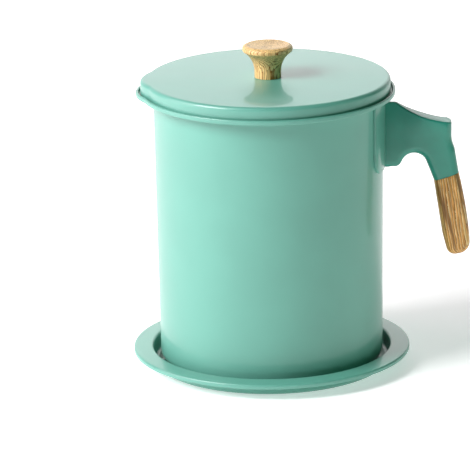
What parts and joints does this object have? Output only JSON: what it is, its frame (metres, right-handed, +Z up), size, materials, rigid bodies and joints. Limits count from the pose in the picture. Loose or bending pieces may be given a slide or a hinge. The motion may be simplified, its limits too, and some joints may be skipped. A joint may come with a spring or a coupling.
{
  "type": "bacon grease container",
  "caption": "Round lidded pot with a pouring nose, a side handle, a lift-out strainer and a knobbed lid, standing in a shallow flanged drip tray.",
  "frame": {"origin": "on the pot's axis at the table, the centre of the tray's flat underside", "axes": "+Z up along the pot's axis, +X towards the handle, -X towards the pouring nose"},
  "size_m": [0.1709, 0.14, 0.1647],
  "materials": {
    "mint_paint": "glossy",
    "handle_plastic": "satin",
    "wood": "satin",
    "stainless": "satin",
    "screw_steel": "plain",
    "insert_brass": "plain"
  },
  "bodies": {
    "tray_base_body": {"tray": "mint_paint"},
    "pot": {"pot_body": "mint_paint", "handle_bracket": "mint_paint", "handle_arm": "handle_plastic", "handle_grip": "wood", "handle_screw": "screw_steel", "grip_screw": "screw_steel"},
    "strainer": {"strainer_rim": "stainless", "strainer_screen": "stainless", "strainer_ring": "stainless"},
    "lid": {"lid_shell": "mint_paint", "lid_knob": "wood", "knob_insert": "insert_brass", "knob_screw": "screw_steel", "knob_washer": "screw_steel"}
  },
  "joints": [
    {"name": "pot_lift", "type": "slide", "parent": "tray_base_body", "child": "pot", "axis": [0, 0, 1], "range_m": [0, 0.03]},
    {"name": "strainer_lift", "type": "slide", "parent": "pot", "child": "strainer", "axis": [0, 0, 1], "range_m": [0, 0.05]},
    {"name": "lid_lift", "type": "slide", "parent": "strainer", "child": "lid", "axis": [0, 0, 1], "range_m": [0, 0.04]}
  ]
}
